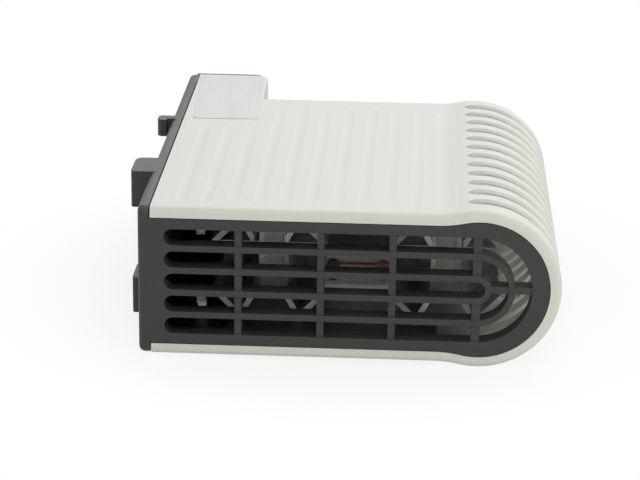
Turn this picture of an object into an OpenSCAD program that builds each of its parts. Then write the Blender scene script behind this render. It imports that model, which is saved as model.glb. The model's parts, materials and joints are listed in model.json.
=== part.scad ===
// Enclosure heater for a 35 mm mounting rail, lying on one of its broad sides.
// X runs from the rail face to the round front, Y along the way the air takes,
// Z across the width. The origin is the middle of the rail's seat.
// Lengths along the air's way are first counted from the near grille's face.

/* [Housing] */
// Depth from the rail face to the round front
depth = 99.5; // [94:0.5:106]
// Radius of the round front
front_r = 19.5; // [19:0.1:20.2]
// How far the round front stands proud of the flat broad sides
side_step = 1.1; // [0.8:0.05:1.4]
// Radius of the hollow blend between a broad side and the round front
blend_r = 24; // [18:1:32]
// Length of the cover along the air's way
body_h = 96.8; // [93:0.1:104]
// Wall of the cover
wall = 2.7; // [2.4:0.1:2.9]
// Rounding of the cover's outer end edges
edge_r = 1.4; // [0.8:0.1:1.6]
// Thickness of the chassis back plate
plate_t = 2.7; // [2:0.1:3.2]
// Corner radius of the chassis back plate
plate_r = 2; // [1.8:0.1:3]
// Rounding of the back plate's outer edges
nose_r = 1.4; // [0.8:0.1:1.6]
// Shadow gap between the back plate and the cover
plate_gap = 0.3; // [0.2:0.05:0.5]
// Clearance between the cover and the chassis inside it
fit_gap = 0.2; // [0.08:0.02:0.3]

/* [Grille] */
// Height of one grille slot
slot_h = 4; // [3.4:0.05:4.1]
// Distance from one grille slot to the next
slot_pitch = 5.5; // [5.3:0.05:5.6]
// Distance from the rail face to the slots' round ends
slot_start = 6.2; // [5.5:0.05:8]
// Depth of the grille along the air's way
grille_t = 4.5; // [3.5:0.1:5]
// Thickness of the upright bars and of the short rib
bar_w = 1.7; // [1.2:0.1:2.2]
// Setback of the upright bars behind the grille's face
bar_setback = 0.5; // [0.2:0.1:1]
// Thickness of the bar beside the ring's centre
ring_bar_w = 2.1; // [1.4:0.1:2.4]
// Distances from the rail face to the upright bars
bar_x = [23.6, 43, 59.8]; // [10:0.1:70]
// Distance from the ring's centre back to the middle of the bar beside it
ring_back = 0.45; // [0.3:0.05:1.2]

/* [Vents] */
// Width of one vent in the round front
vent_w = 2.9; // [2.2:0.1:3.4]
// Rounding of the vents' outer edges
vent_edge = 0.6; // [0.3:0.05:0.8]
// Distance from one vent to the next
vent_pitch = 7.47; // [7:0.05:8]
// Least distance from a cover end to the first vent's middle
vent_margin = 7; // [6:0.1:10]
// Distance from the front's centre back to the vents' tips
vent_lead = 3; // [2:0.1:5]
// Length over which a vent tip narrows and runs out
vent_ramp = 3.5; // [2.5:0.1:4.5]

/* [Flutes] */
// Width of one shallow flute in the broad sides
flute_w = 2.95; // [2.4:0.05:3.4]
// Distance from one flute to the next
flute_pitch = 6.15; // [5.6:0.05:6.8]
// Depth of a flute
flute_depth = 0.1; // [0.05:0.05:0.4]
// Distance from the rail face to the first flute's middle
flute_first = 9.5; // [8:0.1:11]
// Distance from the near end of the cover to the flutes
flute_start = 5; // [4:0.5:8]
// Distance from the flutes to the far end of the cover
flute_rest = 10; // [8:0.5:14]
// Plain strip between a flute and the label
label_clear = 6; // [3:0.5:10]

/* [Rail clip] */
// Width of the mounting rail
rail_w = 35; // [34.8:0.1:35.4]
// Thickness of the mounting rail's lip
rail_lip = 1; // [0.9:0.1:1.6]
// Distance from the near grille's face to the rail's middle
rail_centre = 56.5; // [54:0.5:60]
// Play between the rail and the hooks
rail_play = 0.3; // [0.1:0.05:0.5]
// Height of the stop blocks over the rail face
block_h = 4.9; // [4:0.1:5.5]
// Length of a stop block along the air's way
block_l = 11.5; // [9:0.5:13]
// Width of a stop block
block_w = 9.2; // [8:0.1:10]
// Rounding of the blocks' outer edges away from the rail
block_r = 0.8; // [0.5:0.1:1.5]
// Rounding of the blocks' outer edges towards the rail
block_lead = 2.2; // [1:0.1:3]
// Height of the fixed hooks over the rail face
hook_h = 3.7; // [3.2:0.1:4.5]
// Width of a fixed hook
hook_w = 4.5; // [4:0.1:7]
// Reach of a hook over the rail's lip
hook_reach = 1.5; // [1.2:0.1:2]
// Length of a hook's foot
hook_foot = 2.7; // [2:0.1:4]
// Width of the spring tongue
tongue_w = 12; // [9:0.5:14]
// Length of the spring tongue
tongue_l = 28; // [22:0.5:30]
// Width of the slot around the spring tongue
tongue_slot = 1; // [0.8:0.1:1.5]

/* [Terminal end] */
// Depth of the terminal hood from the rail face
hood_x = 22.4; // [21:0.1:24]
// Length of the terminal end beyond the cover
hood_h = 24.2; // [22:0.1:28]
// Corner radius of the hood
hood_r = 4; // [3:0.1:5]
// Thickness of the end wall's outer rim
end_rim = 0.8; // [0.6:0.1:1.2]
// Thickness of the end wall
end_t = 3; // [2.6:0.1:3.4]
// Radius of a wire entry
entry_r = 2.6; // [2.2:0.1:3]
// Distance between the two poles
pole_pitch = 11; // [10:0.1:13]
// Depth of the terminal block from the hood's wall towards the rail
term_depth = 13; // [12:0.1:14]
// Length of the terminal block
term_l = 15; // [14:0.5:16]
// Wall left beside the clamps in the terminal block
term_wall = 1.6; // [1.2:0.1:2]
// Radius of a clamp screw's head
screw_r = 1.9; // [1.6:0.1:2.1]

/* [Heating] */
// Distance from the rail face to the rail-side profile's middle
rail_profile_x = 30.2; // [29.5:0.1:31]
// Distance from the front's centre back to the front profile's middle
front_profile_back = 7.4; // [6.5:0.1:8]
// Distance from a grille's face to the profiles' ends
profile_inset = 12; // [10:0.1:14]
// Thickness of a profile's fins
fin_t = 1.35; // [1:0.05:1.6]
// Space between a profile's top and the cover
profile_room = 2.6; // [2.4:0.1:2.9]
// Reach of a fin's top, as a share of the profile's reach
apex_share = 0.526; // [0.48:0.002:0.56]
// Height at which the folded fins end
fin_low = 6; // [5:0.1:7]
// Width of the channel for the heating pack
pack_w = 4.6; // [4:0.1:5]
// Distance from a fin's top down to the heating pack
pack_drop = 2.8; // [2.4:0.1:3.4]
// Wall of the channel
channel_t = 1.4; // [1.2:0.1:1.6]
// Half height of the notch in a profile's ends
notch_half = 5.6; // [5:0.1:6]
// Depth of the notch in a profile's ends
notch_l = 17; // [14:0.5:19]
// Thickness of the chassis side walls
side_t = 1.4; // [1:0.1:1.8]
// Thickness of the posts that stop the profiles
post_w = 1.2; // [1:0.1:1.6]
// Clearance between a profile and its runners
runner_gap = 0.15; // [0.1:0.05:0.25]
// Length over which a runner holds a profile's end
runner_hold = 3; // [2:0.1:4]
// Thickness of the insulating film
film_t = 0.3; // [0.2:0.05:0.4]
// Thickness of an electrode
electrode_t = 0.5; // [0.4:0.05:0.6]
// Length of a ceramic tablet
tablet_l = 12; // [10:0.5:13]
// Space between two tablets
tablet_gap = 1; // [0.5:0.1:1.5]
// Length of the electrode tag beyond the film
tag_l = 6; // [5:0.1:7]
// Width of the electrode tag
tag_w = 4; // [3:0.1:4.5]

/* [Cut-out and leads] */
// Width of the cut-out's case between the two profiles
case_w = 15.6; // [14:0.1:17]
// Half height of the cut-out's case
case_half = 4.7; // [4.2:0.1:5.2]
// Length of the cut-out's case
case_l = 22; // [18:0.5:26]
// Distance from a case edge to its lead's middle
case_lead = 1.9; // [1.7:0.1:2.2]
// Half length of a lead's oval socket
socket_half = 2.6; // [2.2:0.1:3]
// Half width of a lead's oval socket
socket_r = 1.6; // [1.2:0.1:1.7]
// Radius of a lead's sleeve
lead_r = 0.8; // [0.6:0.1:0.9]
// Thickness of the label film
label_t = 0.15; // [0.1:0.05:0.25]
// Width of the label
label_w = 17.5; // [14:0.5:18]
// Length of the label
label_l = 43; // [36:0.5:46]
// Corner radius of the label
label_r = 1.5; // [1:0.1:3]
// Angle at which the label was stuck on
label_lean = 2.6; // [-5:0.1:5]

/* [Hidden] */
$fn = 64;
// Small overlap of joined shapes, and how far a cut runs past what it cuts
eps = 0.01;
over = 1;
charcoal = "#4a4a48";
pale_grey = "#dcdcd4";
half_w = front_r - side_step;
flat_w = 2 * half_w;
front_x = depth - front_r;
total_h = body_h + hood_h;
cover_x = plate_t + plate_gap;
inner_half = half_w - wall;
inner_r = front_r - wall;
frame_half = inner_half - fit_gap;
// Where the hollow blend leaves the flat side, and how far it turns
blend_dx = sqrt(pow(front_r + blend_r, 2) - pow(half_w + blend_r, 2));
blend_x = front_x - blend_dx;
blend_turn = asin(blend_dx / (front_r + blend_r));
blend_steps = 5;
front_steps = 24;
plate_steps = 5;
// Where shapes that stand on the back plate are rooted in it
root_t = (nose_r + plate_t) / 2;
// Grille
slot_r = slot_h / 2;
slot_rows = 2;
ring_x = front_x - ring_back;
open_half = slot_rows * slot_pitch + slot_r;
bar_bite = 0.3;
rear_y = body_h - grille_t;
runner_before = 3;
runner_short = 2;
post_reach = 0.6;
// Radius of a flute's hollow, from its width and depth
flute_r = flute_w * flute_w / (8 * flute_depth) + flute_depth / 2;
// Small arms inside the cover
arm_x = 13.7;
arm_w = 2;
arm_t = 1.8;
arm_l = 3;
arm_z = inner_half / 2;
arm_room = 0.6;
// Vents
vent_under = 0.3;
tip_half = 0.7;
// Profiles and what they hold
front_profile_x = front_x - front_profile_back;
fin_reach = (front_profile_x - rail_profile_x - case_w) / 2;
fin_apex = apex_share * fin_reach;
fin_top = inner_half - profile_room - fin_t / 2;
pack_half = fin_top - pack_drop;
// Where the far grille's slots start, clear of the hood
rear_start = hood_x + over;
// How far from the rail face the chassis side walls reach
side_x = rail_profile_x - fin_apex - runner_before + over;
profile_l = body_h - 2 * profile_inset;
profile_mid = body_h / 2;
pack_play = 0.05;
film_w = pack_w - 2 * pack_play;
film_half = pack_half - pack_play;
tablet_count = 3;
tablets_l = tablet_count * tablet_l + (tablet_count - 1) * tablet_gap;
film_l = tablets_l + 2;
tablet_t = film_w - 2 * film_t - 2 * electrode_t;
tablet_half = film_half - film_t;
// A fin springs from the middle of the channel's wall
root_x = (pack_w + channel_t) / 2;
channel_half = pack_w / 2 + channel_t;
fin_bead = 0.02;
tag_y = profile_mid + film_l / 2 + tag_l;
tag_z = 1.5;
tag_share = 1;
tag_step = film_w / 2 - film_t - electrode_t / 2;
// Cut-out between the two profiles
case_x0 = rail_profile_x + fin_reach;
case_x1 = case_x0 + case_w;
case_y0 = profile_inset;
sleeve_x = case_x0 + case_lead;
eyelet_x = case_x1 - case_lead;
socket_depth = 3;
socket_play = 0.05;
sleeve_out = 1;
eyelet_out = 0.6;
groove = 0.2;
link_r = 0.4;
link_z = 1.5;
// Terminal end
hood_y = total_h - end_rim - fit_gap;
hood_in_x = hood_x - wall;
term_x1 = hood_x - hood_r - fit_gap;
term_x0 = term_x1 - term_depth;
term_y1 = total_h - end_t;
term_y0 = term_y1 - term_l;
pole_margin = 4.2;
pole_web = 1;
term_floor = 2.6;
term_front = 3.6;
term_half = pole_pitch / 2 + pole_margin;
clamp_x = 6;
clamp_y = 7;
clamp_z = pole_pitch - 2 * term_wall - pole_web;
clamp_mid_x = term_x0 + term_floor + clamp_x / 2;
clamp_mid_y = term_y1 - term_front - clamp_y / 2;
clamp_play = 0.05;
wire_r = 1.7;
bore_r = 1.5;
well_r = screw_r + 0.25;
shank_r = screw_r - 0.65;
shank_play = 0.05;
shank_tip = 1.8;
head_h = 1.4;
drive_w = 0.6;
drive_depth = 0.6;
window_half = 9;
window_frame = 3;
window_x0 = plate_t + window_frame;
window_x1 = hood_in_x - window_frame;
// Rail clip
near_stop = rail_centre - rail_w / 2 - rail_play;
far_stop = rail_centre + rail_w / 2 + rail_play;
lip_x = rail_lip + rail_play;
tongue_end = near_stop + hook_reach;
tongue_root = tongue_end - tongue_l;
block_steps = 6;
hook_bevel = 0.8;
nose_ramp = 2;
// Label, in the middle of the hood's depth
label_shift = 0.55;
label_x = (cover_x + hood_x) / 2 + label_shift;
// Leads
lead_high = (fin_top + fin_t / 2 + inner_half) / 2;
lead_sides = 8;
lead_play = 0.1;
lead_grip = 2;
lead_stub = 3;
lead_bend = 4;
lead_turn = 7;
duct_x = 9;
duct_z = 7;
cross_y = 46;
under_z = 3;
case_lead_z = 2;
lead_turn_y = tag_y + lead_turn;
bridge_out = 4.6;
bridge_inset = 3;
bridge_y = tag_y + bridge_out;
live_bridge_z = 1;
return_bridge_z = -1.4;

// Moves a shape counted from the near grille's face to the rail-centred frame
module place() {
    translate([0, -rail_centre, 0]) children();
}

// Extrudes a shape of the X-Z plane along Y from y0 to y1
module along_y(y0, y1) {
    translate([0, y1, 0]) rotate([90, 0, 0]) linear_extrude(y1 - y0) children();
}

// Outline of the back plate in the Y-Z plane, set in by a distance
function plate_outline(inset) = let(r = plate_r - inset, y1 = total_h - plate_r, z1 = half_w - plate_r)
    concat(arc(y1, z1, r, 0, 90, plate_steps), arc(plate_r, z1, r, 90, 180, plate_steps),
        arc(plate_r, -z1, r, 180, 270, plate_steps), arc(y1, -z1, r, 270, 360, plate_steps));

// Back plate: its outline carried through the rounding of the rail face's edges
module back_plate() {
    levels = concat(
        [for (i = [0:plate_steps]) let(a = 90 * i / plate_steps)
            [nose_r * (1 - cos(a)), nose_r * (1 - sin(a))]],
        [[plate_t, 0]]);
    n = len(plate_outline(0));
    last = len(levels) - 1;
    polyhedron(
        points = [for (l = levels, q = plate_outline(l[1])) [l[0], q[0], q[1]]],
        faces = concat([[for (k = [0:n - 1]) k]],
            [for (i = [0:last - 1], k = [0:n - 1])
                [i * n + k, (i + 1) * n + k, (i + 1) * n + (k + 1) % n, i * n + (k + 1) % n]],
            [[for (k = [n - 1:-1:0]) last * n + k]]),
        convexity = 4);
}

module both_sides() {
    children();
    mirror([0, 0, 1]) children();
}

function arc(cx, cy, r, a0, a1, steps) =
    [for (i = [0:steps]) let(a = a0 + (a1 - a0) * i / steps) [cx + r * cos(a), cy + r * sin(a)]];

// Outline of the heater seen along the air's way, set in by a distance from the cover's outside
function front_outline(x0, inset) = let(
        half = half_w - inset,
        upper = concat([[x0, half]],
            arc(blend_x, half_w + blend_r, blend_r + inset, -90, -90 + blend_turn, blend_steps),
            arc(front_x, 0, front_r - inset, 90 + blend_turn * (1 - 1 / front_steps), 0, front_steps)))
    concat(upper, [for (i = [len(upper) - 2:-1:0]) [upper[i][0], -upper[i][1]]]);

module rounded_square(size, r) {
    for (x = [r, size[0] - r], y = [r, size[1] - r]) translate([x, y]) circle(r);
    translate([r, 0]) square([size[0] - 2 * r, size[1]]);
    translate([0, r]) square([size[0], size[1] - 2 * r]);
}

// A stadium that ends round at the ring's centre and square at x0
module ring_stadium(x0, r) {
    translate([x0, -r]) square([ring_x - x0, 2 * r]);
    translate([ring_x, 0]) circle(r);
}

// Open slots of a grille: rows that turn round the ring's centre
module grille_slots(x0) {
    for (row = [1:slot_rows]) let(z = row * slot_pitch) {
        difference() {
            ring_stadium(x0 + slot_r, z + slot_r);
            ring_stadium(x0, z - slot_r);
        }
        for (side = [-1, 1]) translate([x0 + slot_r, side * z]) circle(slot_r);
    }
    translate([x0 + slot_r, -slot_r]) square([ring_x - x0 - slot_r, slot_h]);
    for (x = [x0 + slot_r, ring_x]) translate([x, 0]) circle(slot_r);
}

// Upright bars, the half bar beside the ring and the rib along its middle
module grille_bars(x0) {
    end = open_half + bar_bite;
    for (x = bar_x) if (x > x0 + slot_h) {
        translate([x - bar_w / 2, -end]) square([bar_w, 2 * end]);
    }
    for (side = [0, 1]) mirror([0, side]) {
        translate([ring_x - ring_bar_w / 2, slot_r]) square([ring_bar_w, end - slot_r]);
    }
    translate([ring_x + slot_pitch / 2, -bar_w / 2]) square([end - slot_pitch / 2, bar_w]);
}

// One end wall of the chassis with its grille, its outer face at y = 0
module grille_wall(x0) {
    along_y(0, grille_t) difference() {
        polygon(front_outline(root_t, wall + fit_gap));
        grille_slots(x0);
    }
    along_y(bar_setback, grille_t) grille_bars(x0);
}

// Runner on an end wall that holds the profiles' fin tops from above
module runner() {
    x0 = rail_profile_x - fin_apex - runner_before;
    x1 = front_profile_x - runner_short;
    under = fin_top + fin_t / 2 + runner_gap;
    translate([x0, grille_t - eps, under])
        cube([x1 - x0, profile_inset + runner_hold - grille_t + eps, frame_half - under]);
}

// Side wall of the chassis between its two grilles, open where an arm of the cover reaches in
module side_wall() {
    z0 = frame_half - side_t;
    difference() {
        translate([root_t, grille_t - eps, z0])
            cube([side_x - root_t, body_h - 2 * grille_t + 2 * eps, side_t]);
        translate([arm_x - arm_w / 2 - arm_room, profile_inset + arm_l - arm_room, z0 - eps])
            cube([arm_w + 2 * arm_room, arm_t + 2 * arm_room, side_t + 2 * eps]);
    }
}

// Posts behind the upright bars that stop the profiles' side edges
module posts() {
    for (x = [case_x0 - post_w, case_x1])
        translate([x, grille_t - eps, fin_low - post_reach])
            cube([post_w, profile_inset - runner_gap - grille_t + eps, slot_pitch / 2]);
}

module end_wall() {
    lip = hood_r + end_rim + fit_gap;
    difference() {
        union() {
            difference() {
                linear_extrude(flat_w, center = true) difference() {
                    translate([root_t, total_h - 2 * lip]) square([hood_x - root_t, 2 * lip]);
                    translate([hood_x - lip, total_h - lip]) square(lip + eps);
                }
                translate([cover_x, 0, -flat_w]) cube([depth, hood_y + fit_gap, 2 * flat_w]);
            }
            difference() {
                translate([hood_x - lip, total_h - lip, 0]) cylinder(r = lip, h = flat_w, center = true);
                translate([cover_x, 0, -flat_w]) cube([depth, hood_y + fit_gap, 2 * flat_w]);
            }
            translate([root_t, term_y1, -frame_half])
                cube([term_x1 - root_t, end_t - end_rim / 2, 2 * frame_half]);
        }
        for (side = [-1, 1]) translate([clamp_mid_x, total_h + eps, side * pole_pitch / 2])
            rotate([90, 0, 0]) cylinder(r = entry_r, h = end_t + 2 * eps);
    }
}

// Rail blocks, fixed hooks and the nose of the spring tongue
module rail_blocks() {
    block_y = near_stop - block_l;
    both_sides() translate([0, 0, half_w - block_w]) linear_extrude(block_w) polygon(concat(
        [[root_t, block_y]],
        arc(block_r - block_h, block_y + block_r, block_r, 270, 180, block_steps),
        arc(block_lead - block_h, near_stop - block_lead, block_lead, 180, 90, block_steps),
        [[root_t, near_stop]]));
    both_sides() translate([0, 0, half_w - hook_w]) linear_extrude(hook_w) polygon([
        [root_t, far_stop], [-lip_x, far_stop], [-lip_x, far_stop - hook_reach],
        [hook_bevel - hook_h, far_stop - hook_reach], [-hook_h, far_stop - hook_reach + hook_bevel],
        [-hook_h, far_stop + hook_foot - hook_bevel], [hook_bevel - hook_h, far_stop + hook_foot],
        [root_t, far_stop + hook_foot]]);
    translate([0, 0, -tongue_w / 2]) linear_extrude(tongue_w) polygon([
        [eps, near_stop], [-lip_x, near_stop], [-lip_x, near_stop + hook_reach],
        [-hook_h, near_stop], [-hook_h, near_stop - hook_foot], [eps, near_stop - hook_foot - nose_ramp]]);
}

module chassis() {
    color(charcoal) place() difference() {
        union() {
            back_plate();
            grille_wall(slot_start);
            translate([0, body_h, 0]) mirror([0, 1, 0]) grille_wall(rear_start);
            for (far = [0, 1]) translate([0, far * body_h, 0]) mirror([0, far, 0]) both_sides() {
                runner();
                posts();
            }
            both_sides() side_wall();
            end_wall();
            rail_blocks();
        }
        // Slot that frees the spring tongue from the plate
        for (side = [-1, 1])
            translate([-eps, tongue_root, side * (tongue_w + tongue_slot) / 2 - tongue_slot / 2])
                cube([plate_t + 2 * eps, tongue_l + tongue_slot, tongue_slot]);
        translate([-eps, tongue_end, -tongue_w / 2 - tongue_slot / 2])
            cube([plate_t + 2 * eps, tongue_slot, tongue_w + tongue_slot]);
        // Notch in the upper side wall for the supply lead
        translate([duct_x - lead_turn / 2, cross_y - lead_bend, frame_half - side_t - eps])
            cube([side_x, 5 * lead_bend, side_t + 2 * eps]);
        // Window for the leads behind the terminal block
        translate([window_x0, rear_y - eps, -window_half])
            cube([window_x1 - window_x0, grille_t + 2 * eps, 2 * window_half]);
    }
}

// Section of the cover's wall: depth under its outside, and place along the air's way
function wall_section() = concat(
    [[wall, 0]], arc(edge_r, edge_r, edge_r, -90, -180, 5),
    arc(edge_r, body_h - edge_r, edge_r, 180, 90, 5), [[wall, body_h]]);

// Stations round the cover's outside, each with the way into the wall
function upper_stations() = concat(
    [[[cover_x, half_w], [0, -1]]],
    [for (i = [0:blend_steps]) let(a = -90 + blend_turn * i / blend_steps)
        [[blend_x + blend_r * cos(a), half_w + blend_r + blend_r * sin(a)], [cos(a), sin(a)]]],
    [for (i = [1:front_steps]) let(a = 90 + blend_turn - (90 + blend_turn) * i / front_steps)
        [[front_x + front_r * cos(a), front_r * sin(a)], [-cos(a), -sin(a)]]]);
function cover_stations() = let(upper = upper_stations())
    concat(upper, [for (i = [len(upper) - 2:-1:0]) let(p = upper[i][0], d = upper[i][1])
        [[p[0], -p[1]], [d[0], -d[1]]]]);

// The wall's section carried round the stations
module cover_shell() {
    section = wall_section();
    stations = cover_stations();
    n = len(section);
    last = len(stations) - 1;
    polyhedron(
        points = [for (s = stations, q = section) let(c = s[0] + q[0] * s[1]) [c[0], q[1], c[1]]],
        faces = concat([[for (k = [n - 1:-1:0]) k]],
            [for (i = [0:last - 1], k = [0:n - 1])
                [i * n + k, i * n + (k + 1) % n, (i + 1) * n + (k + 1) % n, (i + 1) * n + k]],
            [[for (k = [0:n - 1]) last * n + k]]),
        convexity = 8);
}

// Plan of the terminal hood, set in by a distance from its outside
module hood_plan(inset) {
    x1 = hood_x - inset;
    y1 = hood_y;
    r = hood_r - inset;
    difference() {
        translate([cover_x, body_h - 2 * edge_r]) square([x1 - cover_x, y1 - body_h + 2 * edge_r]);
        translate([hood_x - hood_r, hood_y - hood_r]) square(2 * hood_r);
    }
    intersection() {
        translate([hood_x - hood_r, hood_y - hood_r]) circle(r);
        translate([cover_x, 0]) square([depth, hood_y]);
    }
    translate([cover_x, hood_y - hood_r - eps]) square([hood_x - hood_r - cover_x, hood_r + eps]);
}

module terminal_hood() {
    difference() {
        linear_extrude(flat_w, center = true) hood_plan(0);
        linear_extrude(2 * inner_half, center = true) {
            hood_plan(wall);
            translate([cover_x - eps, body_h - 3 * edge_r])
                square([hood_x - hood_r - cover_x, total_h]);
            translate([cover_x, body_h - 3 * edge_r]) square([hood_x, 3 * edge_r + fit_gap]);
        }
        for (side = [-1, 1]) translate([hood_in_x - eps, clamp_mid_y, side * pole_pitch / 2])
            rotate([0, 90, 0]) cylinder(r = well_r, h = wall + 2 * eps);
    }
}

// Ring whose width is a vent's, opening out at the round front's surface
module vent_ring(y) {
    half = vent_w / 2;
    edge = front_r - vent_edge;
    out = front_r + over;
    open = half + vent_edge + over;
    translate([front_x, y, 0]) rotate([90, 0, 0]) rotate_extrude() polygon([
        [0, -half], [edge, -half], [out, -open], [out, open], [edge, half], [0, half]]);
}

// One vent: its tip narrows and climbs out of the wall
module vent(y) {
    reach = front_r + over;
    side = vent_w / 2 + vent_edge + over;
    floor_z = inner_r - vent_under;
    tip_x = front_x - vent_lead;
    tip_z = sqrt(pow(front_r, 2) - pow(vent_lead, 2));
    slope = (tip_z - floor_z) / vent_ramp;
    lift = (reach - tip_z) / slope;
    intersection() {
        vent_ring(y);
        along_y(y - side, y + side) polygon([
            [tip_x - lift, reach], [tip_x + vent_ramp, floor_z],
            [tip_x + vent_ramp, -floor_z], [tip_x - lift, -reach],
            [depth + over, -reach], [depth + over, reach]]);
        linear_extrude(4 * reach, center = true) polygon([
            [tip_x, y - tip_half], [tip_x, y + tip_half], [tip_x + vent_ramp, y + side],
            [depth + 2 * over, y + side], [depth + 2 * over, y - side], [tip_x + vent_ramp, y - side]]);
    }
}

// Shallow hollow flutes of one broad side, shorter where the label is stuck
module flutes() {
    count = floor((blend_x + flute_w / 2 - flute_first) / flute_pitch) + 1;
    half = flute_w / 2;
    for (i = [0:count - 1]) let(
        x = flute_first + i * flute_pitch,
        by_label = x - half < label_x + label_w / 2,
        y0 = flute_start + half,
        y1 = (by_label ? body_h - label_l / 2 - label_clear : body_h - flute_rest) - half)
        translate([x, 0, half_w - flute_depth + flute_r]) {
            along_y(y0, y1) circle(flute_r);
            for (y = [y0, y1]) translate([0, y, 0]) sphere(flute_r);
        }
}

// Small arm inside a broad side, its head towards the near grille
module inner_arm() {
    y0 = profile_inset;
    root = inner_half + eps;
    translate([arm_x - arm_w / 2, 0, 0]) rotate([90, 0, 90]) linear_extrude(arm_w) polygon([
        [y0, arm_z], [y0 + arm_l, arm_z], [y0 + arm_l + arm_t, arm_z + arm_t],
        [y0 + arm_l + arm_t, root], [y0 + arm_l, root],
        [y0 + arm_l, arm_z + arm_t], [y0, arm_z + arm_t]]);
}

module cover() {
    vents = floor((body_h - 2 * vent_margin) / vent_pitch) + 1;
    first = (body_h - (vents - 1) * vent_pitch) / 2;
    color(pale_grey) place() difference() {
        union() {
            cover_shell();
            terminal_hood();
            both_sides() inner_arm();
        }
        for (i = [0:vents - 1]) vent(first + i * vent_pitch);
        both_sides() flutes();
    }
}

module rating_label() {
    color("#c9cccb") place() translate([label_x, body_h, half_w]) rotate([0, 0, label_lean])
        translate([-label_w / 2, -label_l / 2, 0]) linear_extrude(label_t)
            rounded_square([label_w, label_l], label_r);
}

// A flat strip between two points of a section
module strip(p, q, t) {
    translate(p) rotate(atan2(q[1] - p[1], q[0] - p[0])) translate([0, -t / 2])
        square([norm(q - p), t]);
}

// One quarter of a profile's section: a fin that rises and folds outwards
module folded_fin() {
    apex = [fin_apex, fin_top];
    root = [root_x, fin_top * root_x / fin_apex];
    strip(root, apex, fin_t);
    strip(apex, [fin_reach, fin_low], fin_t);
    translate(apex) circle(fin_t / 2 + fin_bead);
}

module profile_section() {
    outer_half = pack_half + channel_t;
    difference() {
        union() {
            for (mx = [0, 1], mz = [0, 1]) mirror([mx, 0]) mirror([0, mz]) folded_fin();
            translate([-channel_half, -outer_half]) square([2 * channel_half, 2 * outer_half]);
            translate([-fin_reach, -fin_t / 2]) square([2 * fin_reach, fin_t]);
        }
        translate([-pack_w / 2, -pack_half]) square([pack_w, 2 * pack_half]);
    }
}

module heat_profile(x) {
    color("silver") place() translate([x, 0, 0]) difference() {
        along_y(profile_inset, body_h - profile_inset) profile_section();
        for (y = [profile_inset - eps, body_h - profile_inset - notch_l])
            translate([-fin_reach - over, y, -notch_half])
                cube([2 * fin_reach + 2 * over, notch_l + eps, 2 * notch_half]);
        // The channel stops short of the ends, where only the fins go on
        for (y = [profile_inset - eps, body_h - profile_inset - notch_l])
            translate([-channel_half - eps, y, -fin_top])
                cube([2 * channel_half + 2 * eps, notch_l + eps, 2 * fin_top]);
    }
}

module rail_side_profile() { heat_profile(rail_profile_x); }
module front_profile() { heat_profile(front_profile_x); }

// Film sleeve round the heating pack, folded shut at its near end
module film(x) {
    y0 = profile_mid - film_l / 2;
    y1 = profile_mid + film_l / 2;
    color("#b8b8b4") place() translate([x, 0, 0]) difference() {
        translate([-film_w / 2, y0, -film_half]) cube([film_w, film_l, 2 * film_half]);
        translate([-film_w / 2 + film_t, y0 + film_t, -tablet_half])
            cube([film_w - 2 * film_t, y1 - y0, 2 * tablet_half]);
    }
}

module rail_side_film() { film(rail_profile_x); }
module front_film() { film(front_profile_x); }

// Two electrode strips, each with a tag for its lead
module electrodes(x) {
    color("#c8b27a") place() for (side = [-1, 1])
        translate([x + side * (tablet_t + electrode_t) / 2 - electrode_t / 2, 0, 0]) {
            translate([0, profile_mid - tablets_l / 2, -tablet_half])
                cube([electrode_t, tablets_l, 2 * tablet_half]);
            translate([0, profile_mid + tablets_l / 2 - eps, side * tag_z - tag_w / 2])
                cube([electrode_t, tag_y - profile_mid - tablets_l / 2 + eps, tag_w]);
        }
}

module rail_side_electrodes() { electrodes(rail_profile_x); }
module front_electrodes() { electrodes(front_profile_x); }

// Row of ceramic heating tablets
module tablets(x) {
    color("#5b5a58") place() for (i = [0:tablet_count - 1])
        translate([x - tablet_t / 2, profile_mid - tablets_l / 2 + i * (tablet_l + tablet_gap),
            -tablet_half]) cube([tablet_t, tablet_l, 2 * tablet_half]);
}

module rail_side_tablets() { tablets(rail_profile_x); }
module front_tablets() { tablets(front_profile_x); }

// Oval of a lead's socket in the cut-out's case
module socket_oval(r, half) {
    for (side = [-1, 1]) translate([0, side * (half - r)]) circle(r);
    translate([-r, r - half]) square([2 * r, 2 * (half - r)]);
}

module cutout_case() {
    color("#c4c4c0") place() difference() {
        translate([case_x0, case_y0, -case_half]) cube([case_w, case_l, 2 * case_half]);
        for (x = [sleeve_x, eyelet_x]) translate([x, 0, 0])
            along_y(case_y0 - eps, case_y0 + socket_depth) socket_oval(socket_r, socket_half);
        // Grooves for the profiles' side edges
        for (x = [case_x0, case_x1]) translate([x, case_y0 + case_l / 2, 0])
            cube([groove, case_l + over, fin_t + groove], center = true);
    }
}

// Sleeved lead end and bare eyelet in the case's two sockets
module cutout_sleeve() {
    color("#1c1c1c") place() translate([sleeve_x, 0, 0])
        along_y(case_y0 - sleeve_out, case_y0 + socket_depth)
            socket_oval(socket_r - socket_play, socket_half - socket_play);
}

module cutout_eyelet() {
    color("#7a4a35") place() translate([eyelet_x, 0, 0])
        along_y(case_y0 - eyelet_out, case_y0 + socket_depth)
            socket_oval(socket_r - socket_play, socket_half - socket_play);
}

module cutout_link() {
    x0 = sleeve_x + socket_r - socket_play;
    x1 = eyelet_x - socket_r + socket_play;
    color("#6b4523") place() translate([x0, case_y0 - link_r, link_z])
        rotate([0, 90, 0]) cylinder(r = link_r, h = x1 - x0);
}

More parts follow.
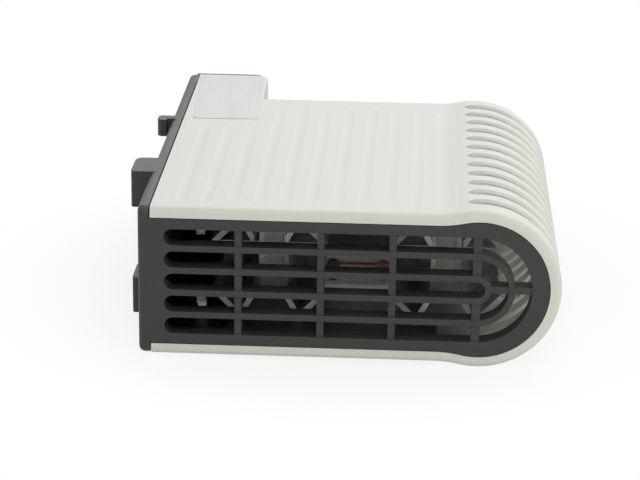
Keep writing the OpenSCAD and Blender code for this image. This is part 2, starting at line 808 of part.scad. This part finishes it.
module terminal_block() {
    color("#d8d4c4") place() difference() {
        translate([term_x0, term_y0, -term_half]) cube([term_depth, term_l, 2 * term_half]);
        for (side = [-1, 1]) translate([0, 0, side * pole_pitch / 2]) {
            translate([clamp_mid_x, clamp_mid_y, 0]) cube([clamp_x, clamp_y, clamp_z], center = true);
            translate([clamp_mid_x, term_y1 + eps, 0]) rotate([90, 0, 0])
                cylinder(r = wire_r, h = term_l + 2 * eps);
            translate([clamp_mid_x, clamp_mid_y, 0]) rotate([0, 90, 0])
                cylinder(r = well_r, h = term_depth);
        }
    }
}

module terminal_clamps() {
    slack = 2 * clamp_play;
    color("#b08d4c") place() for (side = [-1, 1])
        translate([clamp_mid_x, clamp_mid_y, side * pole_pitch / 2]) difference() {
            cube([clamp_x - slack, clamp_y - slack, clamp_z - slack], center = true);
            rotate([-90, 0, 0]) cylinder(r = bore_r, h = clamp_y);
            rotate([90, 0, 0]) cylinder(r = lead_r + lead_play, h = clamp_y);
            rotate([0, 90, 0]) cylinder(r = shank_r + shank_play, h = clamp_x);
        }
}

module terminal_screws() {
    head_x = clamp_x / 2 - clamp_play;
    color("#9a9da0") place() for (side = [-1, 1])
        translate([clamp_mid_x, clamp_mid_y, side * pole_pitch / 2]) difference() {
            rotate([0, 90, 0]) union() {
                translate([0, 0, shank_tip]) cylinder(r = shank_r, h = head_x - shank_tip + eps);
                translate([0, 0, head_x]) cylinder(r = screw_r, h = head_h);
            }
            translate([head_x + head_h, 0, 0])
                cube([2 * drive_depth, drive_w, 3 * screw_r], center = true);
        }
}

// Directions and rings for a round lead swept along its route
function unit(v) = v / norm(v);
function heading(path, i) = i == 0 ? unit(path[1] - path[0])
    : i == len(path) - 1 ? unit(path[i] - path[i - 1])
    : unit(unit(path[i + 1] - path[i]) + unit(path[i] - path[i - 1]));
function side_of(d) = abs(d[2]) < 0.9 ? unit(cross(d, [0, 0, 1])) : unit(cross(d, [0, 1, 0]));
function carried(path, i) = i == 0 ? side_of(heading(path, 0))
    : let(d = heading(path, i), s = carried(path, i - 1)) unit(s - (s * d) * d);
function ring(path, i, r) = let(d = heading(path, i), s = carried(path, i), n = cross(d, s))
    [for (k = [0:lead_sides - 1]) let(a = 360 * k / lead_sides) path[i] + r * (cos(a) * s + sin(a) * n)];

// Rounds a route's corners with short cuts
function smooth(path) = [for (i = [0:len(path) - 1])
    each (i == 0 || i == len(path) - 1) ? [path[i]]
        : [path[i] * 0.75 + path[i - 1] * 0.25, path[i] * 0.75 + path[i + 1] * 0.25]];

module lead(route) {
    path = smooth(smooth(route));
    n = lead_sides;
    last = len(path) - 1;
    polyhedron(
        points = [for (i = [0:last]) each ring(path, i, lead_r)],
        faces = concat([[for (k = [0:n - 1]) k]],
            [for (i = [0:last - 1], k = [0:n - 1])
                [i * n + k, (i + 1) * n + k, (i + 1) * n + (k + 1) % n, i * n + (k + 1) % n]],
            [[for (k = [n - 1:-1:0]) last * n + k]]),
        convexity = 6);
}

// Point on the end of an electrode's tag, a little way out, shared by two leads side by side
function tag_point(x, side, share, out) =
    [x + side * tag_step, tag_y + out, side * tag_z + share * tag_share];

module supply_lead() {
    b = lead_bend;
    z = pole_pitch / 2;
    y = clamp_mid_y - clamp_y / 2;
    case_y1 = case_y0 + case_l;
    x = sleeve_x + b / 2;
    color("#5d3a1e") place() lead([
        [clamp_mid_x, y + lead_grip, z], [clamp_mid_x, y - b, z],
        [duct_x, rear_y + b, duct_z], [duct_x, rear_y - 3 * b, duct_z],
        [duct_x, cross_y + 3 * b, duct_z], [duct_x + b / 2, cross_y, lead_high],
        [2 * duct_x, cross_y, lead_high], [case_x0 + b / 2, cross_y, lead_high],
        [case_x0 + 1.5 * b, cross_y - b / 2, lead_high], [x + b / 4, case_y1 + 1.8 * b, 2 * b],
        [x, case_y1 + 1.3 * b, -case_lead_z], [x, case_y1, -case_lead_z]]);
}

module switched_lead() {
    b = lead_bend;
    x = eyelet_x - b / 2;
    y = case_y0 + case_l;
    color("#5d3a1e") place() lead([
        [x, y, case_lead_z], [x, y + 1.3 * b, case_lead_z], [x - b / 2, y + 5 * b, under_z],
        [x - b, tag_y - b, under_z], [x - b, tag_y + b, under_z], [x + b, lead_turn_y, under_z],
        [front_profile_x + tag_step, lead_turn_y, under_z],
        tag_point(front_profile_x, 1, 1, lead_stub), tag_point(front_profile_x, 1, 1, 0)]);
}

module return_lead() {
    b = lead_bend;
    z = -pole_pitch / 2;
    y = clamp_mid_y - clamp_y / 2;
    color("#2f4f7d") place() lead([
        [clamp_mid_x, y + lead_grip, z], [clamp_mid_x, y - b, z],
        [duct_x + b, rear_y + b, z], [duct_x + b, rear_y - b, -under_z],
        [duct_x + 2.5 * b, lead_turn_y, -under_z], [rail_profile_x - tag_step, lead_turn_y, -under_z],
        tag_point(rail_profile_x, -1, -1, lead_stub), tag_point(rail_profile_x, -1, -1, 0)]);
}

// Bridges that join the two packs' like electrodes
module bridge(side, z) {
    lead([
        tag_point(rail_profile_x, side, rail_share(side), 0),
        tag_point(rail_profile_x, side, rail_share(side), lead_stub),
        [rail_profile_x + side * tag_step + bridge_inset, bridge_y, z],
        [front_profile_x + side * tag_step - bridge_inset, bridge_y, z],
        tag_point(front_profile_x, side, front_share(side), lead_stub),
        tag_point(front_profile_x, side, front_share(side), 0)]);
}

function rail_share(side) = side < 0 ? 1 : 0;
function front_share(side) = side > 0 ? -1 : 0;

module live_bridge() { color("#5d3a1e") place() bridge(1, live_bridge_z); }
module return_bridge() { color("#2f4f7d") place() bridge(-1, return_bridge_z); }

chassis();
cover();
rating_label();
rail_side_profile();
front_profile();
rail_side_film();
front_film();
rail_side_electrodes();
front_electrodes();
rail_side_tablets();
front_tablets();
cutout_case();
cutout_sleeve();
cutout_eyelet();
cutout_link();
terminal_block();
terminal_clamps();
terminal_screws();
supply_lead();
switched_lead();
return_lead();
live_bridge();
return_bridge();
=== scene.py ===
# %% [markdown]
# An enclosure heater, dressed for the camera. The real object is a dark chassis moulding with a
# grille at each end, a pale cover that wraps round it, and heating parts behind the grille.
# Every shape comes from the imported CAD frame, so this lesson is about finishes, light and camera.

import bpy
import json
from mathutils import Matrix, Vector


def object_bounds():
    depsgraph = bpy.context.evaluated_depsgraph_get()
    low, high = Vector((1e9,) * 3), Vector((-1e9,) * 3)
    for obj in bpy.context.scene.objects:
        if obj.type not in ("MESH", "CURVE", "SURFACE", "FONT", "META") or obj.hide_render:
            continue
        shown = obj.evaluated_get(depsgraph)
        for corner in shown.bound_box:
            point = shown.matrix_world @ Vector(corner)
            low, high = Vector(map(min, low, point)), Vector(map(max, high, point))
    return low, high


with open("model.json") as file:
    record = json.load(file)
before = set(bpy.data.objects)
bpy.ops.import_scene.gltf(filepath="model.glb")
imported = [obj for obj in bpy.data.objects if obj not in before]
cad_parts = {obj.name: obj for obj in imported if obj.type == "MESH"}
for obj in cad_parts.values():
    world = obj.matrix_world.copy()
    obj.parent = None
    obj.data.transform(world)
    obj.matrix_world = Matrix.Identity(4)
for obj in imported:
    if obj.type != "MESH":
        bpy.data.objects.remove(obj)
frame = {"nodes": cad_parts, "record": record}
cad_low, cad_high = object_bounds()
print("nodes in the frame:", len(frame["nodes"]))

# %% [markdown]
# The CAD box is kept now, before anything else is made, because the dressed object has to stay
# inside it. Blender counts in metres here, and one value gives millimetres.

# %% Modules and units
import json
import math

import bpy
from mathutils import Vector

MM = 0.001
print("CAD box in mm:", [round((b - a) / MM, 1) for a, b in zip(cad_low, cad_high)])

# %% [markdown]
# A finish is a tree of shader nodes. Trees can be built by hand in Blender's editor, or by long
# lists of nodes and links. Here one small class wraps a socket, so that a mask or a bump height
# is written as plain arithmetic, and one method makes every other node.


# %% A socket that takes part in arithmetic
class Wire:
    def __init__(self, tree, socket=None):
        self.tree = tree
        self.socket = socket

    def node(self, kind, settings=None, inputs=None, out=0):
        made = self.tree.nodes.new(kind)
        for name, value in (settings or {}).items():
            setattr(made, name, value)
        for name, value in (inputs or {}).items():
            self.plug(value, made.inputs[name])
        return Wire(self.tree, None if out is None else made.outputs[out])

    def plug(self, value, target):
        if isinstance(value, Wire):
            self.tree.links.new(value.socket, target)
        else:
            target.default_value = value

    def maths(self, operation, first, second):
        return self.node("ShaderNodeMath", {"operation": operation}, {0: first, 1: second})

    def __add__(self, other):
        return self.maths("ADD", self, other)

    def __radd__(self, other):
        return self.maths("ADD", other, self)

    def __sub__(self, other):
        return self.maths("SUBTRACT", self, other)

    def __rsub__(self, other):
        return self.maths("SUBTRACT", other, self)

    def __mul__(self, other):
        return self.maths("MULTIPLY", self, other)

    def __rmul__(self, other):
        return self.maths("MULTIPLY", other, self)


print("wire class ready:", Wire.__name__)

# %% [markdown]
# Five helpers are shared by the finishes. Places on the object come from its own coordinates, in
# metres, so a grain keeps its real size. Streaks are the same noise, drawn out along one axis.
# Colours are mixed by a Mix node, because a Math node would turn them grey. That node has sockets
# for several kinds of data, so the numbers of the four that are used have names.

# %% Places, noise, colour and closing a finish
EVEN = (1.0, 1.0, 1.0)
NOISE_ROUGHNESS = 0.55
MIX_SHARE, MIX_FIRST, MIX_SECOND, MIX_RESULT = 0, 6, 7, 2


def new_finish(name):
    material = bpy.data.materials.new(name)
    material.use_nodes = True
    material.node_tree.nodes.clear()
    return material, Wire(material.node_tree)


def grain(start, size_mm, detail, stretch=EVEN):
    place = start.node("ShaderNodeTexCoord", out="Object")
    scaled = start.node("ShaderNodeVectorMath", {"operation": "MULTIPLY"}, {0: place, 1: stretch})
    return start.node("ShaderNodeTexNoise", inputs={
        "Vector": scaled, "Scale": 1 / (size_mm * MM), "Detail": detail,
        "Roughness": NOISE_ROUGHNESS}, out="Fac")


def blend_colour(start, share, first, second):
    return start.node("ShaderNodeMix", {"data_type": "RGBA"}, {
        MIX_SHARE: share, MIX_FIRST: (*first, 1.0), MIX_SECOND: (*second, 1.0)}, out=MIX_RESULT)


def spread(start, value, low, high):
    return start.node("ShaderNodeMapRange", {"clamp": True}, {
        "Value": value, "From Min": low, "From Max": high, "To Min": 0.0, "To Max": 1.0})


def close_finish(start, sockets):
    shader = start.node("ShaderNodeBsdfPrincipled", inputs=sockets)
    start.node("ShaderNodeOutputMaterial", inputs={"Surface": shader}, out=None)


helpers = (new_finish, grain, blend_colour, spread, close_finish)
print("helpers ready:", [helper.__name__ for helper in helpers])

# %% [markdown]
# Moulded edges are never knife sharp: the tool leaves a small radius that catches the light. It
# could be bevelled into the mesh, but the CAD nodes stay as they are, so a Bevel node rounds the
# shading normal within a fraction of a millimetre, and the bump of the surface rides on it.

# %% Rounded edges with a surface bump
EDGE_SAMPLES = 6


def soft_surface(start, height, depth_mm, strength, edge_mm):
    edge = start.node("ShaderNodeBevel", {"samples": EDGE_SAMPLES}, {"Radius": edge_mm * MM})
    return start.node("ShaderNodeBump", inputs={
        "Strength": strength, "Distance": depth_mm * MM, "Height": height, "Normal": edge})


print("edge helper ready:", soft_surface.__name__)

# %% [markdown]
# The chassis is charcoal plastic from a spark-eroded tool: a fine even grain that scatters light,
# with a slightly greyer bloom where hands have rubbed it. One flat dark grey would look like
# painted card. Two noises do it, a fine one that is the grain in the bump, and one much larger,
# which with some of the first makes the bloom in the colour and the roughness.

# %% Charcoal chassis plastic
CHARCOAL = (0.031, 0.031, 0.0297)
CHARCOAL_BLOOM = (0.039, 0.039, 0.0373)


def charcoal_plastic():
    material, start = new_finish("charcoal_plastic")
    fine = grain(start, size_mm=0.35, detail=2.0)
    bloom = grain(start, size_mm=14.0, detail=3.0)
    share = spread(start, bloom * 0.75 + fine * 0.25, low=0.35, high=0.68)
    close_finish(start, {
        "Base Color": blend_colour(start, share, CHARCOAL, CHARCOAL_BLOOM),
        "Roughness": 0.40 + share * 0.08,
        "Specular IOR Level": 0.42,
        "Normal": soft_surface(start, fine, depth_mm=0.02, strength=0.25, edge_mm=0.3)})
    return material


chassis_finish = charcoal_plastic()
print("chassis finish:", len(chassis_finish.node_tree.nodes), "shader nodes")

# %% [markdown]
# The cover is a pale warm grey plastic with a satin skin. Up close it shows a faint orange peel and
# slight clouds of colour, left by the melt as it flowed along the mould. A round noise would look
# like dirt, so the clouds are drawn out along the air's way, which is the way the melt ran.

# %% Pale cover plastic
PALE_GREY = (0.73, 0.735, 0.675)
PALE_CLOUD = (0.755, 0.76, 0.70)
MELT_FLOW = (1.0, 0.22, 1.0)


def pale_plastic():
    material, start = new_finish("pale_plastic")
    peel = grain(start, size_mm=0.7, detail=2.0)
    flow = grain(start, size_mm=9.0, detail=3.0, stretch=MELT_FLOW)
    clouds = spread(start, flow, low=0.3, high=0.7)
    close_finish(start, {
        "Base Color": blend_colour(start, clouds, PALE_GREY, PALE_CLOUD),
        "Roughness": 0.40 + clouds * 0.07 + peel * 0.05,
        "Specular IOR Level": 0.4,
        "Normal": soft_surface(start, peel, depth_mm=0.02, strength=0.25, edge_mm=0.12)})
    return material


cover_finish = pale_plastic()
print("cover finish:", len(cover_finish.node_tree.nodes), "shader nodes")

# %% [markdown]
# The rating label is a silver-grey polyester film, left bare. Such film has very fine rolled
# streaks along its length and a soft sheen. It could be a full metal, but then it would mirror the
# room, so a plain grey with a little of the metal shader stands for the metallic pigment.

# %% Silver-grey label film
LABEL_GREY = (0.58, 0.598, 0.586)
LABEL_SILVER = (0.635, 0.655, 0.642)
ROLLED = (1.0, 0.05, 1.0)


def label_film():
    material, start = new_finish("label_film")
    streaks = grain(start, size_mm=1.2, detail=3.0, stretch=ROLLED)
    mottle = grain(start, size_mm=6.0, detail=2.0)
    share = spread(start, streaks * 0.6 + mottle * 0.4, low=0.35, high=0.65)
    close_finish(start, {
        "Base Color": blend_colour(start, share, LABEL_GREY, LABEL_SILVER),
        "Roughness": 0.36 + share * 0.1,
        "Metallic": 0.12,
        "Normal": soft_surface(start, streaks, depth_mm=0.006, strength=0.3, edge_mm=0.08)})
    return material


label_finish = label_film()
print("label finish:", len(label_finish.node_tree.nodes), "shader nodes")

# %% [markdown]
# Sheet and extruded metal share one recipe: a metal shader with drawn lines along one axis, or an
# even grain on the copper, and a dull film of oxide in patches. Each metal could have a tree of its
# own, but one function takes the tones, the lines, the roughness and the size of the patches, so
# that aluminium, brass, copper and plated steel differ only in numbers.

# %% Drawn metals
ALONG_AIR = (1.0, 0.04, 1.0)
ACROSS_WIDTH = (1.0, 1.0, 0.1)
OXIDE_DULLING = 0.14


def drawn_metal(name, dull, bright, line_mm, stretch, rough, oxide_mm=5.0):
    material, start = new_finish(name)
    lines = grain(start, line_mm, detail=4.0, stretch=stretch)
    oxide = spread(start, grain(start, oxide_mm, detail=4.0), low=0.36, high=0.66)
    share = spread(start, lines * 0.55 + oxide * 0.45, low=0.3, high=0.75)
    close_finish(start, {
        "Base Color": blend_colour(start, share, dull, bright),
        "Metallic": 1.0,
        "Roughness": rough + OXIDE_DULLING - share * OXIDE_DULLING,
        "Normal": soft_surface(start, lines, depth_mm=0.01, strength=0.3, edge_mm=0.12)})
    return material


profile_finish = drawn_metal(
    "mill_aluminium", dull=(0.33, 0.33, 0.317), bright=(0.49, 0.49, 0.47),
    line_mm=0.6, stretch=ALONG_AIR, rough=0.38)
electrode_finish = drawn_metal(
    "sheet_brass", dull=(0.38, 0.27, 0.10), bright=(0.68, 0.53, 0.24),
    line_mm=0.5, stretch=ALONG_AIR, rough=0.28)
copper_finish = drawn_metal(
    "dull_copper", dull=(0.09, 0.05, 0.037), bright=(0.20, 0.11, 0.08),
    line_mm=0.5, stretch=EVEN, rough=0.34, oxide_mm=1.2)
screw_finish = drawn_metal(
    "plated_steel", dull=(0.42, 0.42, 0.43), bright=(0.66, 0.66, 0.67),
    line_mm=0.4, stretch=ACROSS_WIDTH, rough=0.26, oxide_mm=1.5)
metals = (profile_finish, electrode_finish, copper_finish, screw_finish)
print("metals:", [metal.name for metal in metals])

# %% [markdown]
# The small insulating pieces are film, plastics, ceramic and rubber. Each one has a fine speckle:
# fired grains in the tablets, moulding grain in the cut-out case and the terminal block, wrinkles
# round the shrunk sleeve. Each could have a tree of its own, but one recipe with a speckle size
# covers them, because behind the grille only their tone and sheen are seen.

# %% Small insulating pieces
SPECKS_TO_A_CLOUD = 12
SLEEVE_WRINKLES = (1.0, 3.0, 1.0)


def moulded(name, dark, light, speck_mm, rough, stretch=EVEN, coat=0.0):
    material, start = new_finish(name)
    speck = grain(start, speck_mm, detail=3.0, stretch=stretch)
    clouds = grain(start, speck_mm * SPECKS_TO_A_CLOUD, detail=2.0)
    share = spread(start, speck * 0.5 + clouds * 0.5, low=0.34, high=0.66)
    close_finish(start, {
        "Base Color": blend_colour(start, share, dark, light),
        "Roughness": rough + share * 0.1,
        "Coat Weight": coat,
        "Normal": soft_surface(start, speck, depth_mm=0.02, strength=0.3, edge_mm=0.15)})
    return material


film_finish = moulded("grey_film", dark=(0.42, 0.42, 0.40), light=(0.52, 0.52, 0.50),
                      speck_mm=0.9, rough=0.34, coat=0.2)
tablet_finish = moulded("fired_ceramic", dark=(0.07, 0.07, 0.07), light=(0.15, 0.15, 0.145),
                        speck_mm=0.3, rough=0.62)
case_finish = moulded("cutout_grey", dark=(0.40, 0.40, 0.385), light=(0.49, 0.49, 0.47),
                      speck_mm=0.4, rough=0.45)
sleeve_finish = moulded("shrunk_sleeve", dark=(0.009, 0.009, 0.009), light=(0.018, 0.018, 0.018),
                        speck_mm=0.4, rough=0.48, stretch=SLEEVE_WRINKLES)
brown_finish = moulded("brown_insulation", dark=(0.16, 0.065, 0.028), light=(0.25, 0.105, 0.048),
                       speck_mm=0.4, rough=0.38)
blue_finish = moulded("blue_insulation", dark=(0.022, 0.06, 0.16), light=(0.04, 0.10, 0.24),
                      speck_mm=0.4, rough=0.38)
terminal_finish = moulded("cream_terminal", dark=(0.55, 0.52, 0.43), light=(0.65, 0.62, 0.53),
                          speck_mm=0.5, rough=0.42)
small_finishes = (film_finish, tablet_finish, case_finish, sleeve_finish, brown_finish, blue_finish,
                  terminal_finish)
print("small pieces:", [finish.name for finish in small_finishes])

# %% [markdown]
# Now each finish goes on the nodes that have it. The nodes could be dressed one by one, but the
# record already says which material slot each node belongs to, so one table from slot to finish
# dresses them all, and none can be forgotten.

# %% Dress the nodes
finish_by_slot = {
    "chassis_plastic": chassis_finish, "cover_plastic": cover_finish, "label_film": label_finish,
    "profile_metal": profile_finish, "insulating_film": film_finish,
    "electrode_metal": electrode_finish, "tablet_ceramic": tablet_finish,
    "cutout_case": case_finish, "black_sleeve": sleeve_finish, "copper": copper_finish,
    "brown_lead": brown_finish, "blue_lead": blue_finish, "terminal_plastic": terminal_finish,
    "screw_steel": screw_finish}
for part in frame["record"]["subparts"]:
    piece = frame["nodes"][part["node"]]
    piece.data.materials.clear()
    piece.data.materials.append(finish_by_slot[part["material_slot"]])

# %% [markdown]
# The heater lies on its broad side on a plain pale floor. A floor that is only lit turns grey in
# the distance, and a white sheet alone would lose the shadow. So for rays from the camera, a mirror
# or glass the floor shines white by itself: wholly from 100 mm off the heater's middle, and for the
# most part nearer than that, where the rest still takes the light and keeps the soft shadow.

# %% Floor
FLOOR_HALF = 3.0
FLOOR_TONE = (0.80, 0.79, 0.74, 1.0)
WHITE = (1.0, 1.0, 1.0, 1.0)
NEAR_WHITE = 0.82
WHITE_FROM, WHITE_TO = 0.05, 0.10
corners = [(x * FLOOR_HALF, y * FLOOR_HALF, cad_low.z)
           for x, y in ((-1, -1), (1, -1), (1, 1), (-1, 1))]
floor_mesh = bpy.data.meshes.new("floor")
floor_mesh.from_pydata(corners, [], [(0, 1, 2, 3)])
floor = bpy.data.objects.new("floor", floor_mesh)
bpy.context.scene.collection.objects.link(floor)


def clear_rays(start):
    camera_ray, mirror_ray, glass_ray = [
        start.node("ShaderNodeLightPath", out=kind)
        for kind in ("Is Camera Ray", "Is Glossy Ray", "Is Transmission Ray")]
    return start.maths("MAXIMUM", start.maths("MAXIMUM", camera_ray, mirror_ray), glass_ray)


def pale_floor():
    material, start = new_finish("pale_floor")
    lit = start.node("ShaderNodeBsdfDiffuse", inputs={"Color": FLOOR_TONE})
    white = start.node("ShaderNodeEmission", inputs={"Color": WHITE, "Strength": 1.0})
    place = start.node("ShaderNodeTexCoord", out="Object")
    under = ((cad_low.x + cad_high.x) / 2, (cad_low.y + cad_high.y) / 2, cad_low.z)
    away = start.node("ShaderNodeVectorMath", {"operation": "DISTANCE"}, {0: place, 1: under},
                      out="Value")
    share = NEAR_WHITE + spread(start, away, WHITE_FROM, WHITE_TO) * (1 - NEAR_WHITE)
    mixed = start.node("ShaderNodeMixShader", inputs={
        0: clear_rays(start) * share, 1: lit, 2: white})
    start.node("ShaderNodeOutputMaterial", inputs={"Surface": mixed}, out=None)
    return material


floor_mesh.materials.append(pale_floor())
print("floor at height", round(cad_low.z / MM, 2), "mm")

# %% [markdown]
# The light is a photographer's tent: a dim even world, which is plain white to rays from the
# camera, a mirror or glass, so that a dark gloss shows a white room. One strength for all rays
# would be simpler, but a world bright enough to look white would also flood the shadows with light.

# %% World
TENT = 0.10
world = bpy.data.worlds.new("tent")
world.use_nodes = True
world.node_tree.nodes.clear()
sky = Wire(world.node_tree)
glow = sky.node("ShaderNodeBackground", inputs={"Color": WHITE, "Strength": TENT})
plain_white = sky.node("ShaderNodeBackground", inputs={"Color": WHITE, "Strength": 1.0})
room = sky.node("ShaderNodeMixShader", inputs={0: clear_rays(sky), 1: glow, 2: plain_white})
sky.node("ShaderNodeOutputWorld", inputs={"Surface": room}, out=None)
bpy.context.scene.world = world
print("tent strength:", TENT)

# %% [markdown]
# Five soft lamps stand in the tent, at strengths where a colour renders about as it is written. A
# broad one above and behind makes the top the brightest side, and leaves the vents grey. One above
# in front lights the rounded edges. Two on the right, one high and one low, open the round front
# and reach into the vents, which show behind the ring. A low strip lights the near end straight on.
# One large lamp in front would be simpler, but it would wash out the vents. The lamps above stand
# to the right, so that the shallow flutes show. The strip is hidden from mirror rays, which see the
# white room.

# %% Lamps
LIT_SPOT = Vector((0.05, 0.0, 0.0))
WARM_WHITE = (1.0, 0.98, 0.92)


def soft_lamp(name, place, width, height, watts, tint=EVEN):
    lamp = bpy.data.lights.new(name, "AREA")
    lamp.shape = "RECTANGLE"
    lamp.size = width
    lamp.size_y = height
    lamp.energy = watts
    lamp.color = tint
    holder = bpy.data.objects.new(name, lamp)
    holder.location = place
    holder.rotation_euler = (LIT_SPOT - Vector(place)).to_track_quat("-Z", "Y").to_euler()
    bpy.context.scene.collection.objects.link(holder)
    return holder


lamps = [
    soft_lamp("top_box", (0.18, 0.52, 0.76), width=0.85, height=0.85, watts=5.8),
    soft_lamp("edge_box", (0.18, -0.55, 0.72), width=0.6, height=0.6, watts=3.0),
    soft_lamp("right_box", (0.85, 0.35, 0.45), width=0.7, height=0.7, watts=1.4),
    soft_lamp("vent_box", (0.85, -0.30, 0.05), width=0.5, height=0.2, watts=0.8),
    soft_lamp("front_strip", (0.20, -0.90, 0.03), width=1.2, height=0.08, watts=2.0,
              tint=WARM_WHITE)]
front_strip = lamps[-1]
front_strip.visible_glossy = False
print("lamps:", [(lamp.name, round(lamp.data.energy, 2)) for lamp in lamps])

# %% [markdown]
# The camera stands where the photographer stood. It could be aimed by eye, but its place, turn and
# focal length were worked out from the photo's edges, so that the two pictures can be laid over
# each other: a long lens, a little above the heater, looking at the near grille.

# %% Camera
SENSOR_MM = 36.0
LENS_MM = 126.93
CAMERA_PLACE_MM = (65.0, -552.03, 182.81)
CAMERA_TURN_DEGREES = (70.935, -0.765, 2.832)
CLIP_NEAR, CLIP_FAR = 0.05, 20.0
camera_data = bpy.data.cameras.new("photo_camera")
camera_data.sensor_width = SENSOR_MM
camera_data.lens = LENS_MM
camera_data.clip_start = CLIP_NEAR
camera_data.clip_end = CLIP_FAR
camera = bpy.data.objects.new("photo_camera", camera_data)
camera.location = [step * MM for step in CAMERA_PLACE_MM]
camera.rotation_euler = [math.radians(angle) for angle in CAMERA_TURN_DEGREES]
bpy.context.scene.collection.objects.link(camera)
bpy.context.scene.camera = camera
print("camera lens:", round(camera_data.lens, 2), "mm")

# %% [markdown]
# The view settings stay plain, so that colours reach the picture unchanged.

bpy.context.scene.view_settings.view_transform = "Standard"
